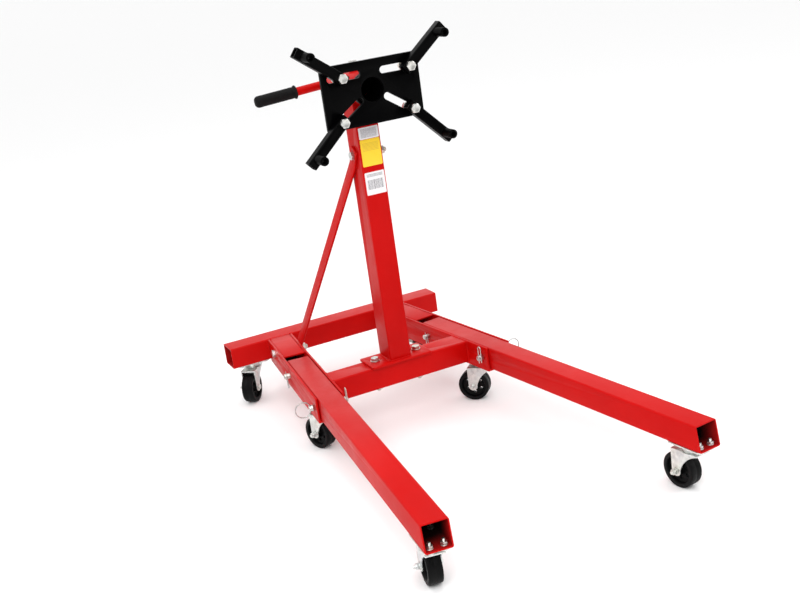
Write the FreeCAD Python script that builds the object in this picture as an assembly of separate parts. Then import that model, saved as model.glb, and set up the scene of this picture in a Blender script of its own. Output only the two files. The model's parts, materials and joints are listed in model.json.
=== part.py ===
import FreeCAD, Part
import math
import os

os.makedirs("parts", exist_ok=True)
V = FreeCAD.Vector
UP = V(0, 0, 1)

# Folding engine stand, millimetres. +Z is up, -Y is the front where the legs reach out, +X is the right.
# The origin is on the floor, under the middle of the overall length and width.

# Square and rectangular tubes of the base
TUBE = 60.0           # leg tube, width and height
WALL = 3.0
ROUND = 4.5           # outside corner radius
TOP = 172.0           # height of the upper face of beams and legs
LOW = TOP - TUBE
BEAM_DEPTH = 70.0     # front-to-back size of the rear and cross beams
REAR_HALF = 330.0     # half length of the rear beam
SPLAY = math.radians(6.4)   # each leg opens outwards by this angle
LEG_ROOT_X = 173.0    # leg centreline, extended back to the rear face
LEG_START = 288.0     # distances along a leg are measured from the rear face of the rear beam
LEG_END_TOP = 1336.0
LEG_END_LOW = 1346.0  # the open end is cut with a slight rake
CROSS_FRONT = 516.0
CROSS_MID = CROSS_FRONT - BEAM_DEPTH / 2
OVERALL = LEG_END_LOW * math.cos(SPLAY) + TUBE / 2 * math.sin(SPLAY)
YR = OVERALL / 2      # rear face of the rear beam

# Leg sockets: two side plates, a short piece of tube between them at the rear, a floor at the front
GAP = 1.5
PLATE = 5.0
SIDE_IN = TUBE / 2 + GAP
SIDE_OUT = SIDE_IN + PLATE
SOCKET_END = 605.0
STUB_END = 252.0
STUB_WALL = 4.0
FLOOR_START = 440.0
PIVOT_T = 322.0
LOCK_T = 580.0
PIN_Z = TOP - TUBE / 2
PIVOT_R = 7.0
LOCK_R = 7.0
RUN = 0.05            # radial running clearance
LOCK_CLEAR = 0.5      # drawn lock pins stand this far off the leg
LOCK_END, LOCK_HOLE, LOCK_COLLAR = 50.5, 46.5, 8.5
RING_R = 20.0

# Post, foot plate and braces
POST_X, POST_Y = 60.0, 70.0
FOOT = (170.0, 88.0, 6.0)
FOOT_BOLT_X = 60.0
BRACE_W, BRACE_T = 30.0, 6.0
BRACE_LOW_T, BRACE_LOW_Z = 150.0, 152.0
BRACE_TOP_Z = 720.0

# Turning head
AXIS_Z = 884.0
SLEEVE_R = 38.0
SLEEVE_FRONT, SLEEVE_REAR = 545.0, 364.0
SPINDLE_R, SPINDLE_BORE = 33.0, 29.0
SPINDLE_REAR = 344.0   # end of the spindle tube, closed by a plug that a thinner shank stands on
PLUG = 8.0
SHANK_R, SHANK_REAR = 17.0, 284.0
PLATE_BACK, PLATE_FRONT = 570.0, 580.0
PLATE_W, PLATE_H, PLATE_Z = 254.0, 152.0, 879.0
SLOT_R = 9.0
SLOTS = [((-34, 925), (-103, 925)), ((34, 925), (103, 925)), ((36, 862), (98, 820)), ((-36, 862), (-98, 820))]
INDEX_R = 6.0
HANDLE_D, HANDLE_R, HANDLE_DROOP = 302.0, 11.0, 3.8

# Engine arms: bolt position on the plate and direction, degrees from +X towards +Z
ARM_SIDE, ARM_WALL = 25.0, 2.5
ARM_BACK, ARM_REACH, FINGER_AT = 15.0, 128.0, 105.0
FINGER_R, FINGER_BORE, FINGER_FRONT = 11.0, 6.0, 645.0
ARMS = [(-83.0, 925.0, 143.0), (94.0, 925.0, 39.0), (91.0, 824.742, -45.0), (-94.0, 822.71, -138.0)]
ARM_BOLT_R = 7.0

# Swivel casters
WHEEL_R, WHEEL_W, TRAIL, AXLE_R = 42.0, 32.0, 33.0, 4.0
FORK_TOP = 95.0
FORK_SHEET = 3.0
NUT_GAP = 6.0          # room for the nuts between the pad and the fork
PAD_L, PAD_W, PAD_T = 92.0, 60.0, 3.0
PAD_HOLE = 4.4


def box(x0, x1, y0, y1, z0, z1):
    return Part.makeBox(x1 - x0, y1 - y0, z1 - z0, V(x0, y0, z0))


def rod(r, start, end):
    """Round bar between two points."""
    a = V(*start)
    d = V(*end) - a
    return Part.makeCylinder(r, d.Length, a, d)


def ring(r_out, r_in, start, end):
    return rod(r_out, start, end).cut(rod(r_in, start, end))


def rounded(w, h, r):
    """Face in the XY plane: a rectangle about the origin with round corners."""
    a, b = w / 2 - r, h / 2 - r
    k = r * math.sqrt(0.5)
    edges = []
    for sx, sy, flip in ((1, 1, False), (-1, 1, True), (-1, -1, False), (1, -1, True)):
        ends = [V(sx * (a + r), sy * b, 0), V(sx * a, sy * (b + r), 0)]
        if flip:
            ends.reverse()
        edges.append(Part.Arc(ends[0], V(sx * (a + k), sy * (b + k), 0), ends[1]).toShape())
    for i in range(4):
        edges.append(Part.makeLine(edges[i].Vertexes[1].Point, edges[(i + 1) % 4].Vertexes[0].Point))
    return Part.Face(Part.Wire(Part.__sortEdges__(edges)))


def hollow(w, h, wall, r, length):
    """Rectangular tube standing on the XY plane, axis along +Z."""
    outer = rounded(w, h, r).extrude(V(0, 0, length))
    inner = rounded(w - 2 * wall, h - 2 * wall, max(r - wall, 1.5)).extrude(V(0, 0, length))
    return outer.cut(inner)


def prism(points, depth):
    """Solid from a closed outline swept along a vector."""
    return Part.Face(Part.makePolygon([V(*p) for p in points] + [V(*points[0])])).extrude(V(*depth))


def hexagon(af, start, end):
    """Hexagonal bar of width af across flats between two points."""
    a = V(*start)
    d = V(*end) - a
    r = af / math.sqrt(3)
    pts = [V(r * math.cos(math.radians(60 * i)), r * math.sin(math.radians(60 * i)), 0) for i in range(7)]
    solid = Part.Face(Part.makePolygon(pts)).extrude(V(0, 0, d.Length))
    solid.Placement = FreeCAD.Placement(a, FreeCAD.Rotation(UP, d))
    return solid


def bolt(r, af, head, start, end, grip, washer=2.5, low_washer=True):
    """Bolt, washers and nut. The head bears on start, the nut on the point grip mm along; the tip is end."""
    a = V(*start)
    d = (V(*end) - a).normalize()
    w0 = washer if low_washer else 0.0
    base = a - d * w0
    screw = hexagon(af, base - d * head, base).fuse(rod(r, base, end))
    out = [screw.removeSplitter()]
    if low_washer:
        out.append(ring(af * 0.62, r + 0.3, base, a))
    far = a + d * grip
    out.append(ring(af * 0.62, r + 0.3, far, far + d * washer))
    nut = hexagon(af, far + d * washer, far + d * (washer + 0.8 * 2 * r))
    out.append(nut.cut(rod(r + RUN, far, far + d * 40)))
    return out


def to_leg(shape, side):
    """From leg space (X outwards, -Y along the leg from the rear face) to the stand."""
    s = shape.copy()
    s.rotate(V(0, 0, 0), UP, math.degrees(SPLAY))
    s.translate(V(LEG_ROOT_X, YR, 0))
    return s if side > 0 else s.mirror(V(0, 0, 0), V(1, 0, 0))


def leg_point(side, t, lat, z):
    x = LEG_ROOT_X + t * math.sin(SPLAY) + lat * math.cos(SPLAY)
    return (side * x, YR - t * math.cos(SPLAY) + lat * math.sin(SPLAY), z)


def save(name, shapes):
    shapes = shapes if isinstance(shapes, list) else [shapes]
    solids = [s for shape in shapes for s in shape.Solids]
    out = solids[0] if len(solids) == 1 else Part.makeCompound(solids)
    out.exportStep("parts/" + name + ".step")


def both(name, shapes):
    """One node on each side of the stand."""
    for side, word in ((1, "right"), (-1, "left")):
        save(name % word, [to_leg(s, side) for s in shapes])


# ---- rear beam: open tube across the back
PAD_BOLTS = [(sx * 37.0, sy * 15.0) for sx in (-1, 1) for sy in (-1, 1)]
REAR_PADS = [(side * (REAR_HALF - 64.0), YR - BEAM_DEPTH / 2) for side in (-1, 1)]


def lying(length, depth, y_mid, r=ROUND):
    """Beam along X, centred on x = 0."""
    t = hollow(TUBE, depth, WALL, r, length)
    t.rotate(V(0, 0, 0), V(0, 1, 0), 90)
    t.translate(V(-length / 2, y_mid, TOP - TUBE / 2))
    return t


beam = lying(2 * REAR_HALF, BEAM_DEPTH, YR - BEAM_DEPTH / 2)
for cx, cy in REAR_PADS:
    for dx, dy in PAD_BOLTS:
        beam = beam.cut(rod(PAD_HOLE, (cx + dx, cy + dy, LOW - 5), (cx + dx, cy + dy, LOW + 10)))
save("rear_beam", beam)


# ---- cross beam between the sockets, carrying the post
def cross_end(d):
    t = (d - SIDE_OUT * math.sin(SPLAY)) / math.cos(SPLAY)
    return leg_point(1, t, -SIDE_OUT, 0)[0]


beam = lying(500, BEAM_DEPTH, YR - CROSS_MID)
near, far = cross_end(CROSS_FRONT - BEAM_DEPTH), cross_end(CROSS_FRONT)
y_near, y_far = YR - CROSS_FRONT + BEAM_DEPTH, YR - CROSS_FRONT
plan = [(-near, y_near, 0), (near, y_near, 0), (far, y_far, 0), (-far, y_far, 0)]
beam = beam.common(prism(plan, (0, 0, 300)))
for x in (-FOOT_BOLT_X, FOOT_BOLT_X):
    beam = beam.cut(rod(6.6, (x, YR - CROSS_MID, 90), (x, YR - CROSS_MID, 190)))
save("cross_beam", beam)

# ---- sockets, built in leg space
behind = box(-300, 400, YR - BEAM_DEPTH, YR + 200, 0, 300)   # everything behind the rear beam's front face


def clear_of_beam(shapes):
    """Trim leg-space shapes where they would run into the rear beam."""
    wall = behind.copy()
    wall.translate(V(-LEG_ROOT_X, -YR, 0))
    wall.rotate(V(0, 0, 0), UP, -math.degrees(SPLAY))
    return [s.cut(wall) for s in shapes]


sides = []
for x0, x1 in ((SIDE_IN, SIDE_OUT), (-SIDE_OUT, -SIDE_IN)):
    p = box(x0, x1, -SOCKET_END, -30, LOW - PLATE, TOP)
    for t, z, r in ((PIVOT_T, PIN_Z, PIVOT_R + RUN), (LOCK_T, PIN_Z, LOCK_R + RUN), (BRACE_LOW_T, BRACE_LOW_Z, 6.5)):
        p = p.cut(rod(r, (x0 - 1, -t, z), (x1 + 1, -t, z)))
    sides.append(p)
both("socket_%s_sides", clear_of_beam(sides))
stub = hollow(2 * SIDE_IN, TUBE, STUB_WALL, 5.5, STUB_END - 40)
stub.rotate(V(0, 0, 0), V(1, 0, 0), 90)
stub.translate(V(0, -40, PIN_Z))
stub = stub.cut(rod(6.5, (-50, -BRACE_LOW_T, BRACE_LOW_Z), (50, -BRACE_LOW_T, BRACE_LOW_Z)))
both("socket_%s_stub", clear_of_beam([stub]))

MID_T = 532.0
floor = box(-SIDE_IN, SIDE_IN, -SOCKET_END, -FLOOR_START, LOW - PLATE, LOW)
for dy, dx in PAD_BOLTS:
    floor = floor.cut(rod(PAD_HOLE, (dx, dy - MID_T, 90), (dx, dy - MID_T, 120)))
    floor = floor.cut(Part.makeCone(8.5, PAD_HOLE, 3.5, V(dx, dy - MID_T, LOW), V(0, 0, -1)))
both("socket_%s_floor", [floor])

# ---- legs
END_PAD_T = LEG_END_TOP - 42.0
leg = hollow(TUBE, TUBE, WALL, ROUND, LEG_END_LOW - LEG_START)
leg.rotate(V(0, 0, 0), V(1, 0, 0), 90)
leg.translate(V(0, -LEG_START, PIN_Z))
rake = [(-50, -LEG_START, LOW), (-50, -LEG_START, TOP), (-50, -LEG_END_TOP, TOP), (-50, -LEG_END_LOW, LOW)]
leg = leg.common(prism(rake, (100, 0, 0)))
leg = leg.cut(rod(PIVOT_R + RUN, (-40, -PIVOT_T, PIN_Z), (40, -PIVOT_T, PIN_Z)))
leg = leg.cut(rod(LOCK_R + 0.5, (-40, -LOCK_T, PIN_Z), (40, -LOCK_T, PIN_Z)))
for dy, dx in PAD_BOLTS:
    leg = leg.cut(rod(PAD_HOLE, (dx, dy - END_PAD_T, LOW - 5), (dx, dy - END_PAD_T, LOW + 10)))
both("leg_%s", [leg])

# ---- pivot pins with a hairpin clip at each end
pin = rod(PIVOT_R, (-52, -PIVOT_T, PIN_Z), (52, -PIVOT_T, PIN_Z))
for x in (-46, 46):
    pin = pin.cut(rod(1.7, (x, -PIVOT_T, PIN_Z - 12), (x, -PIVOT_T, PIN_Z + 12)))
pins = [pin.makeChamfer(1.0, [e for e in pin.Edges if abs(abs(e.CenterOfMass.x) - 52) < 0.01])]
save("pivot_pins", [to_leg(s, side) for s in pins for side in (1, -1)])


def hairpin(x, t, z, up, r=1.3, leg_gap=11.0, tail=14.0, bow=27.0):
    """Spring clip: one straight leg goes through the pin, the other hugs its side; the bow is above for up = 1."""
    a, b = V(x, -t, z - up * tail), V(x, -t, z + up * bow)
    c, d = V(x, -t - leg_gap, z + up * bow), V(x, -t - leg_gap, z - up * tail * 0.7)
    crown = V(x, -t - leg_gap / 2, z + up * (bow + leg_gap / 2))
    path = Part.Wire([Part.makeLine(a, b), Part.Arc(b, crown, c).toShape(), Part.makeLine(c, d)])
    start = Part.Wire(Part.makeCircle(r, a, UP))
    return path.makePipeShell([start], True, False)


clips = [hairpin(x, PIVOT_T, PIN_Z, -1) for x in (-46, 46)]
save("pivot_clips", [to_leg(s, side) for s in clips for side in (1, -1)])

# ---- lock pins: one from outside with a large pull ring, one from inside with a clip
tip = TUBE / 2 + LOCK_CLEAR
outer = rod(LOCK_R, (tip, -LOCK_T, PIN_Z), (LOCK_END, -LOCK_T, PIN_Z))
outer = outer.makeChamfer(0.8, outer.Edges)
outer = outer.fuse(rod(LOCK_COLLAR, (SIDE_OUT + 4.2, -LOCK_T, PIN_Z), (SIDE_OUT + 6.7, -LOCK_T, PIN_Z)))
outer = outer.cut(rod(3.0, (LOCK_HOLE, -LOCK_T, PIN_Z - 12), (LOCK_HOLE, -LOCK_T, PIN_Z + 12)))
both("lock_pin_%s_outer", [outer])
both("lock_ring_%s", [Part.makeTorus(RING_R, 1.5, V(LOCK_HOLE - 0.6 + RING_R, -LOCK_T, PIN_Z), V(0, 1, 0))])
inner = rod(LOCK_R, (-LOCK_END, -LOCK_T, PIN_Z), (-tip, -LOCK_T, PIN_Z))
inner = inner.makeChamfer(0.8, inner.Edges)
inner = inner.fuse(rod(LOCK_COLLAR, (-SIDE_OUT - 6.7, -LOCK_T, PIN_Z), (-SIDE_OUT - 4.2, -LOCK_T, PIN_Z)))
inner = inner.cut(rod(1.7, (-LOCK_HOLE, -LOCK_T, PIN_Z - 12), (-LOCK_HOLE, -LOCK_T, PIN_Z + 12)))
both("lock_pin_%s_inner", [inner, hairpin(-LOCK_HOLE, LOCK_T, PIN_Z, 1)])

# ---- foot plate, post and their bolts
plate = rounded(FOOT[0], FOOT[1], 3.0).extrude(V(0, 0, FOOT[2]))
plate.translate(V(0, YR - CROSS_MID, TOP))
for x in (-FOOT_BOLT_X, FOOT_BOLT_X):
    plate = plate.cut(rod(6.6, (x, YR - CROSS_MID, 160), (x, YR - CROSS_MID, 190)))
save("foot_plate", plate)
foot_top = TOP + FOOT[2]
bolts = []
for x in (-FOOT_BOLT_X, FOOT_BOLT_X):
    y = YR - CROSS_MID
    bolts += bolt(6.0, 19.0, 7.5, (x, y, foot_top), (x, y, LOW - 16), foot_top - LOW)
save("foot_bolts", bolts)

post = hollow(POST_X, POST_Y, WALL, 3.5, AXIS_Z - foot_top)
post.translate(V(0, YR - CROSS_MID, foot_top))
post = post.cut(rod(SLEEVE_R, (0, YR - 700, AXIS_Z), (0, YR - 200, AXIS_Z)))
post = post.cut(rod(6.5, (-50, YR - CROSS_MID, BRACE_TOP_Z), (50, YR - CROSS_MID, BRACE_TOP_Z)))
save("post", post)
front = YR - CROSS_MID - POST_Y / 2
save("post_labels", [box(-26.5, 26.5, front - 0.3, front, z0, z1) for z0, z1 in ((760, 789), (692, 759), (620, 677))])

# ---- flat braces from the sockets' inner plates up to the post
lean = V(0, -(CROSS_MID - BRACE_LOW_T), BRACE_TOP_Z - BRACE_LOW_Z).normalize()


def section(centre, across, along):
    """Rectangle of the bar's size, thickness along `across`, square to `along`."""
    n = V(*across).normalize() * (BRACE_T / 2)
    w = V(*across).cross(along).normalize() * (BRACE_W / 2)
    pts = [centre + n + w, centre + n - w, centre - n - w, centre - n + w]
    return Part.makePolygon(pts + [pts[0]])


low = V(*leg_point(1, BRACE_LOW_T, -SIDE_OUT - BRACE_T / 2, BRACE_LOW_Z))
high = V(POST_X / 2 + BRACE_T / 2, YR - CROSS_MID, BRACE_TOP_Z)
skew = (math.cos(SPLAY), math.sin(SPLAY), 0)
lean_low = FreeCAD.Rotation(UP, math.degrees(SPLAY)).multVec(lean)
cuts = [section(low - lean_low * 20, skew, lean_low), section(low + lean_low * 26, skew, lean_low)]
cuts += [section(high - lean * 30, (1, 0, 0), lean), section(high + lean * 18, (1, 0, 0), lean)]
brace = Part.makeLoft(cuts, True, True)
out = V(*skew) * 20
brace = brace.cut(rod(6.5, low - out, low + out))
brace = brace.cut(rod(6.5, (10, high.y, high.z), (60, high.y, high.z)))
save("brace_right", brace)
save("brace_left", brace.mirror(V(0, 0, 0), V(1, 0, 0)))
half = POST_X / 2 + BRACE_T
y = YR - CROSS_MID
top_bolt = bolt(6.0, 19.0, 7.5, (-half, y, BRACE_TOP_Z), (half + 18, y, BRACE_TOP_Z), 2 * half, 2.5, False)
low_bolt = bolt(6.0, 19.0, 7.5, (SIDE_OUT, -BRACE_LOW_T, BRACE_LOW_Z), (-SIDE_OUT - BRACE_T - 17, -BRACE_LOW_T,
                BRACE_LOW_Z), 2 * SIDE_OUT + BRACE_T, 2.5, False)
save("brace_bolts", top_bolt + [to_leg(s, side) for s in low_bolt for side in (1, -1)])

# ---- head sleeve on the post, with the index pin's guide on top
sleeve = rod(SLEEVE_R, (0, YR - SLEEVE_FRONT, AXIS_Z), (0, YR - SLEEVE_REAR, AXIS_Z))
sleeve = sleeve.fuse(rod(12, (0, YR - CROSS_MID, AXIS_Z + 30), (0, YR - CROSS_MID, AXIS_Z + 44)))
sleeve = sleeve.cut(rod(SPINDLE_R + RUN, (0, YR - 700, AXIS_Z), (0, YR - 200, AXIS_Z)))
sleeve = sleeve.cut(rod(INDEX_R + RUN, (0, YR - CROSS_MID, AXIS_Z), (0, YR - CROSS_MID, AXIS_Z + 60)))
save("head_sleeve", sleeve)

spindle = rod(SPINDLE_R, (0, YR - PLATE_BACK, AXIS_Z), (0, YR - SPINDLE_REAR, AXIS_Z))
spindle = spindle.fuse(rod(41, (0, YR - 560, AXIS_Z), (0, YR - SLEEVE_FRONT - 1, AXIS_Z)))
spindle = spindle.cut(rod(SPINDLE_BORE, (0, YR - 700, AXIS_Z), (0, YR - SPINDLE_REAR - PLUG, AXIS_Z)))
spindle = spindle.fuse(rod(SHANK_R, (0, YR - SPINDLE_REAR - 2, AXIS_Z), (0, YR - SHANK_REAR, AXIS_Z)))
for i in range(8):
    a = math.radians(45 * i)
    spindle = spindle.cut(rod(6.3, (25 * math.cos(a), YR - CROSS_MID, AXIS_Z + 25 * math.sin(a)),
                              (37 * math.cos(a), YR - CROSS_MID, AXIS_Z + 37 * math.sin(a))))


def drooped(s):
    """Handle parts lie along X through the spindle, the grip end a little low."""
    return s.rotated(V(0, YR - HANDLE_D, AXIS_Z), V(0, 1, 0), -HANDLE_DROOP)


hole = drooped(rod(HANDLE_R + RUN, (-60, YR - HANDLE_D, AXIS_Z), (60, YR - HANDLE_D, AXIS_Z)))
save("spindle", spindle.cut(hole))
save("spindle_collar", ring(39, SPINDLE_R + RUN, (0, YR - SLEEVE_REAR + 1, AXIS_Z), (0, YR - SLEEVE_REAR + 15, AXIS_Z)))
save("handle_bar", drooped(rod(HANDLE_R, (-200, YR - HANDLE_D, AXIS_Z), (30, YR - HANDLE_D, AXIS_Z))))
grip = rod(15, (-206, YR - HANDLE_D, AXIS_Z), (-94, YR - HANDLE_D, AXIS_Z))
grip = grip.makeFillet(9, [e for e in grip.Edges if e.CenterOfMass.x < -205])
grip = grip.fuse(rod(17.5, (-98, YR - HANDLE_D, AXIS_Z), (-94, YR - HANDLE_D, AXIS_Z)))
grip = grip.cut(rod(HANDLE_R, (-200, YR - HANDLE_D, AXIS_Z), (-60, YR - HANDLE_D, AXIS_Z)))
save("handle_grip", drooped(grip))

index_low = AXIS_Z + SPINDLE_R + 0.5
y = YR - CROSS_MID
index_pin = rod(INDEX_R, (0, y, index_low), (0, y, 949)).fuse(rod(10, (0, y, 942), (0, y, 949)))
save("index_pin", index_pin.removeSplitter())

# ---- slotted mounting plate
plate = rounded(PLATE_W, PLATE_H, 5.0).extrude(V(0, 0, PLATE_FRONT - PLATE_BACK))
plate.rotate(V(0, 0, 0), V(1, 0, 0), 90)
plate.translate(V(0, YR - PLATE_BACK, PLATE_Z))
plate = plate.cut(rod(SPINDLE_BORE + 0.5, (0, YR - 600, AXIS_Z), (0, YR - 500, AXIS_Z)))
for (xa, za), (xb, zb) in SLOTS:
    run, rise = xb - xa, zb - za
    length = math.hypot(run, rise)
    nx, nz = -rise / length * SLOT_R, run / length * SLOT_R
    plan = [(xa + nx, YR - 590, za + nz), (xb + nx, YR - 590, zb + nz)]
    plan += [(xb - nx, YR - 590, zb - nz), (xa - nx, YR - 590, za - nz)]
    slot = prism(plan, (0, 40, 0))
    for x, z in ((xa, za), (xb, zb)):
        slot = slot.fuse(rod(SLOT_R, (x, YR - 590, z), (x, YR - 550, z)))
    plate = plate.cut(slot)
save("mounting_plate", plate)

# ---- engine arms, each clamped by one bolt
arm_mid = PLATE_FRONT + ARM_SIDE / 2
for n, (bx, bz, angle) in enumerate(ARMS, 1):
    arm = hollow(ARM_SIDE, ARM_SIDE, ARM_WALL, 2.6, ARM_REACH + ARM_BACK)
    arm.rotate(V(0, 0, 0), V(0, 1, 0), 90)
    arm.translate(V(-ARM_BACK, 0, 0))
    arm = arm.fuse(rod(FINGER_R, (FINGER_AT, ARM_SIDE / 2, 0), (FINGER_AT, arm_mid - FINGER_FRONT, 0)))
    arm = arm.cut(rod(FINGER_BORE, (FINGER_AT, 60, 0), (FINGER_AT, -90, 0)))
    arm = arm.cut(rod(ARM_BOLT_R + RUN, (0, 60, 0), (0, -60, 0)))
    arm.rotate(V(0, 0, 0), V(0, 1, 0), -angle)
    arm.translate(V(bx, YR - arm_mid, bz))
    save("arm_%d" % n, arm)
    head = YR - PLATE_FRONT - ARM_SIDE
    parts = bolt(ARM_BOLT_R, 21.0, 8.8, (bx, head, bz), (bx, YR - 547, bz), YR - PLATE_BACK - head, 3.0, False)
    save("arm_bolt_%d" % n, parts)


# ---- casters
def pad(top, long_x):
    """Top plate with the ball race under it, centred on the swivel axis."""
    w, d = (PAD_L, PAD_W) if long_x else (PAD_W, PAD_L)
    p = rounded(w, d, 6.0).extrude(V(0, 0, PAD_T))
    p.translate(V(0, 0, top - PAD_T))
    p = p.fuse(Part.makeCone(21, 25, top - PAD_T - FORK_TOP - 0.5, V(0, 0, FORK_TOP + 0.5)))
    for a, b in PAD_BOLTS:
        dx, dy = (a, b) if long_x else (b, a)
        p = p.cut(rod(PAD_HOLE, (dx, dy, 80), (dx, dy, 120)))
    return p.cut(rod(6.0 + RUN, (0, 0, 80), (0, 0, top - PAD_T + 1)))


def pad_bolts(top, wall, long_x):
    """Bolts come up from below; their nuts sit on the wall inside the tube."""
    out = []
    for a, b in PAD_BOLTS:
        dx, dy = (a, b) if long_x else (b, a)
        low = top - PAD_T
        out += bolt(4.0, 13.0, 5.0, (dx, dy, low), (dx, dy, top + wall + 14), PAD_T + wall, 1.6, False)
    return out


def countersunk(top):
    """Countersunk screws come down through the socket floor; nuts are under the caster plate."""
    out = []
    for b, a in PAD_BOLTS:
        screw = Part.makeCone(8.0, 4.0, 3.5, V(a, b, top + PLATE - 0.3), V(0, 0, -1))
        screw = screw.fuse(rod(4.0, (a, b, top + PLATE - 1.0), (a, b, top - PAD_T - NUT_GAP - 0.4)))
        nut = hexagon(13.0, (a, b, top - PAD_T), (a, b, top - PAD_T - NUT_GAP))
        out += [screw.removeSplitter(), nut.cut(rod(4.0 + RUN, (a, b, 80), (a, b, 110)))]
    return out


def fork(nut):
    """Pressed fork: round bridge over the wheel, two cheeks that narrow to the axle. It trails
    towards +Y; the axle's nut is on the -X side for nut = -1."""
    half = WHEEL_W / 2 + 2.0
    edge = half + FORK_SHEET
    under = FORK_TOP - FORK_SHEET
    body = rod(25, (0, 0, under), (0, 0, FORK_TOP)).fuse(box(-edge, edge, -29, 44.5, under, FORK_TOP))
    front = Part.BSplineCurve()
    front.interpolate([V(0, -29, under), V(0, -14, 86), V(0, 3, 74), V(0, 14.5, 59), V(0, 21, 44)])
    foot = Part.Arc(V(0, 21, 44), V(0, TRAIL, WHEEL_R - 12), V(0, 44.5, 44)).toShape()
    rear = Part.makePolygon([V(0, 44.5, 44), V(0, 44.5, under), V(0, -29, under)])
    cheek = Part.Face(Part.Wire(Part.__sortEdges__([front.toShape(), foot] + rear.Edges)))
    for x in (-edge, half):
        body = body.fuse(cheek.translated(V(x, 0, 0)).extrude(V(FORK_SHEET, 0, 0)))
    body = body.cut(rod(AXLE_R + RUN, (-40, TRAIL, WHEEL_R), (40, TRAIL, WHEEL_R)))
    body = body.fuse(rod(6.0, (0, 0, under - 2.5), (0, 0, FORK_TOP + 5)))
    ends = [(-nut * edge, TRAIL, WHEEL_R), (nut * (edge + 14), TRAIL, WHEEL_R)]
    axle = bolt(AXLE_R, 13.0, 5.0, ends[0], ends[1], 2 * edge, 2.5, False)
    return [body.removeSplitter()] + axle


def wheel():
    """Solid wheel: round-edged tread, thin web with through holes, hub bored for the axle."""
    w, r = WHEEL_W / 2, WHEEL_R
    bore = AXLE_R + RUN
    half = [(w + 1.5, bore), (w + 1.5, 12), (6, 14), (6, 27), (w - 2, 29), (w, 31), (w, r - 6), (w - 2.5, r - 1.5),
            (w - 6, r)]
    outline = half + [(-x, y) for x, y in reversed(half)]
    pts = [V(x, y, 0) for x, y in outline]
    solid = Part.Face(Part.makePolygon(pts + [pts[0]])).revolve(V(0, 0, 0), V(1, 0, 0), 360)
    for i in range(6):
        a = math.radians(60 * i + 20)
        solid = solid.cut(rod(4.2, (-20, 20.5 * math.cos(a), 20.5 * math.sin(a)),
                              (20, 20.5 * math.cos(a), 20.5 * math.sin(a))))
    solid.translate(V(0, TRAIL, WHEEL_R))
    return solid


# where each caster swivels, the direction its wheel trails in (degrees from +X) and the side of its nut
mid_r, mid_l = leg_point(1, MID_T, 0, 0), leg_point(-1, MID_T, 0, 0)
end_r, end_l = leg_point(1, END_PAD_T, 0, 0), leg_point(-1, END_PAD_T, 0, 0)
CASTERS = {
    "rear_right": (REAR_PADS[1][0], REAR_PADS[1][1], -112.0, 1),
    "rear_left": (REAR_PADS[0][0], REAR_PADS[0][1], -128.0, 1),
    "mid_right": (mid_r[0], mid_r[1], 136.0, -1),
    "mid_left": (mid_l[0], mid_l[1], 111.0, -1),
    "front_right": (end_r[0], end_r[1], 99.0, -1),
    "front_left": (end_l[0], end_l[1], 79.0, -1),
}
for name, (x, y, trail, nut) in CASTERS.items():
    placed = []
    for s in fork(nut) + [wheel()]:
        s.rotate(V(0, 0, 0), UP, trail - 90)
        s.translate(V(x, y, 0))
        placed.append(s)
    save("fork_" + name, placed[:-1])
    save("wheel_" + name, placed[-1])

rear_pads, rear_bolts = [], []
for x, y in REAR_PADS:
    rear_pads.append(pad(LOW, True).translated(V(x, y, 0)))
    rear_bolts += [s.translated(V(x, y, 0)) for s in pad_bolts(LOW, WALL, True)]
mid_pad = pad(LOW - PLATE, False).translated(V(0, -MID_T, 0))
mid_screws = [s.translated(V(0, -MID_T, 0)) for s in countersunk(LOW - PLATE)]
save("frame_caster_pads", rear_pads + [to_leg(mid_pad, side) for side in (1, -1)])
save("rear_caster_bolts", rear_bolts)
save("mid_caster_screws", [to_leg(s, side) for s in mid_screws for side in (1, -1)])
both("leg_%s_caster_pad", [pad(LOW, False).translated(V(0, -END_PAD_T, 0))])
both("leg_%s_caster_bolts", [s.translated(V(0, -END_PAD_T, 0)) for s in pad_bolts(LOW, WALL, False)])
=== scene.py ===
import json
import math

import bmesh
import bpy
from mathutils import Matrix, Vector, noise


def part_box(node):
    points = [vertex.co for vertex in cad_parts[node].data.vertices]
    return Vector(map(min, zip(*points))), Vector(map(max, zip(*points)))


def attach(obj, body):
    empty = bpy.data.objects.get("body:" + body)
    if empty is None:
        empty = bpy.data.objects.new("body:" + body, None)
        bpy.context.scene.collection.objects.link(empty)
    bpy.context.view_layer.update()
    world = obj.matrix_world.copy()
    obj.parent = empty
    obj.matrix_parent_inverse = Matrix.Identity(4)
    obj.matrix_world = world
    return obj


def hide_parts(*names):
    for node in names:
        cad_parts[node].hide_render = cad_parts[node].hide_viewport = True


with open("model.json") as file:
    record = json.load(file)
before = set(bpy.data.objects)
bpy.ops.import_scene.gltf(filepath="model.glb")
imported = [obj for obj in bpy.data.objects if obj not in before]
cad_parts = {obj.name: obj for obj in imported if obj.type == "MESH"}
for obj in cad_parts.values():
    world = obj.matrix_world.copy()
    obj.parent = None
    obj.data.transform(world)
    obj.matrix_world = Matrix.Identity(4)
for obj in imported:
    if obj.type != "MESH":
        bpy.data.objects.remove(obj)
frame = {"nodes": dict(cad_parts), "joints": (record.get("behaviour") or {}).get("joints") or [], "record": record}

NODES = frame["nodes"]
BODY_OF = {n: b for b, ns in frame["record"]["behaviour"]["bodies"].items() for n in ns}
SLOT_OF = {s["node"]: s["material_slot"] for s in frame["record"]["subparts"]}
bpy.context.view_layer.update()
MM = 0.001

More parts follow.
